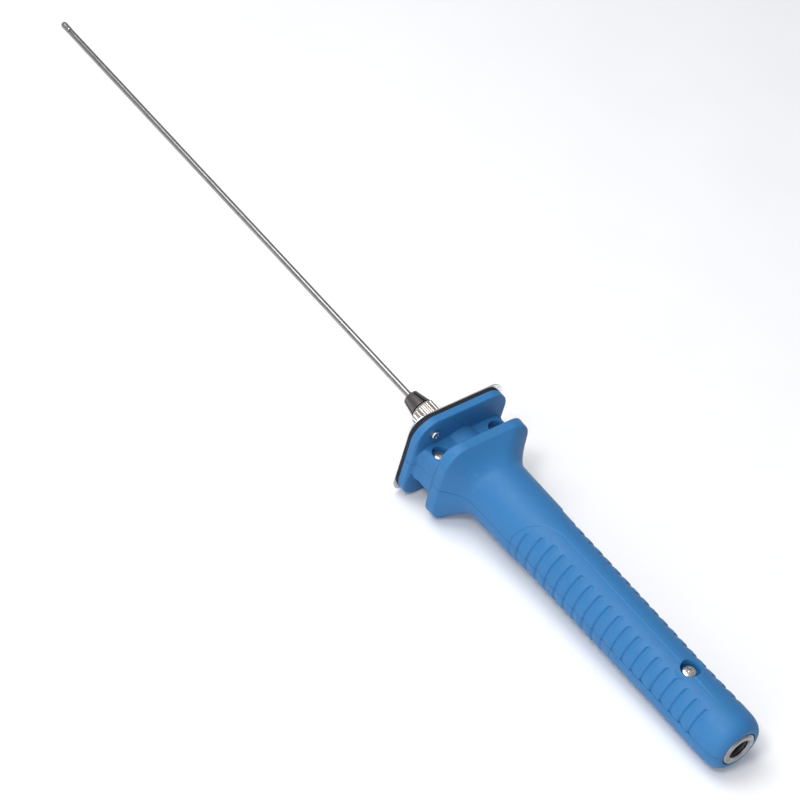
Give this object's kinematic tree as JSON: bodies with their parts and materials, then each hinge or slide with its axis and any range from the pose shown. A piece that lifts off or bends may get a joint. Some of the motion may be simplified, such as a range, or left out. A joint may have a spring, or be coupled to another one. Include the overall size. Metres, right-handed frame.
{
  "type": "hot needle foam cutter pen",
  "caption": "Hand-held electric foam cutter: a long hot needle in a collet chuck, a steel heat shield, two finger guards and a ribbed plastic handle with a socket.",
  "frame": {"origin": "centre of the bottom of the whole pen's box, needle included: under the tool axis, level with the lower edge of the heat shield", "axes": "+X along the tool axis towards the needle's tip, +Z out of the handle half that has the screw heads, +Y to the left seen from behind"},
  "size_m": [0.3656, 0.0394, 0.035],
  "materials": {
    "blue_plastic": "satin moulded plastic",
    "polished_steel": "polished sheet steel",
    "black_rubber": "matt",
    "nickel": "nickel plated, slightly worn",
    "dark_steel": "blackened steel",
    "needle_steel": "drawn stainless tube",
    "screw_steel": "bright plated",
    "brass": "turned brass",
    "ceramic": "unglazed ceramic",
    "black_plastic": "moulded",
    "red_wire": "silicone insulation",
    "black_wire": "silicone insulation",
    "glass_sleeve": "woven glass sleeve"
  },
  "bodies": {
    "handle": {"upper_shell": "blue_plastic", "lower_shell": "blue_plastic", "heat_shield": "polished_steel", "shield_gasket": "black_rubber", "shield_screw_upper": "screw_steel", "shield_screw_lower": "screw_steel", "shell_screw_left": "screw_steel", "shell_screw_right": "screw_steel", "shell_screw_rear": "screw_steel", "jack_bezel": "nickel", "chuck_body": "brass", "insulator_bush": "ceramic", "chuck_lock_nut": "nickel", "chuck_terminal": "nickel", "contact_socket": "brass", "socket_holder": "black_plastic", "jack_housing": "black_plastic", "jack_centre_pin": "nickel", "jack_leaf_contact": "brass", "lead_positive": "red_wire", "lead_negative": "black_wire"},
    "collet": {"collet": "dark_steel"},
    "nut": {"chuck_nut": "nickel"},
    "needle": {"needle_tube": "needle_steel", "needle_tip": "needle_steel", "heater_wire": "glass_sleeve", "needle_bead": "ceramic", "needle_contact": "brass"}
  },
  "joints": [
    {"name": "collet_slide", "type": "slide", "parent": "handle", "child": "collet", "axis": [1, 0, 0], "range_m": [0, 0.0015]},
    {"name": "nut_turn", "type": "hinge", "parent": "collet", "child": "nut", "pos_m": [-0.02795, 0, 0.0175], "axis": [1, 0, 0], "range_deg": [0, 720]},
    {"name": "needle_slide", "type": "slide", "parent": "handle", "child": "needle", "axis": [1, 0, 0], "range_m": [0, 0.06]}
  ],
  "couplings": [
    {"joint": "nut_turn", "follows": "collet_slide", "rad_per_m": 8377.6}
  ]
}
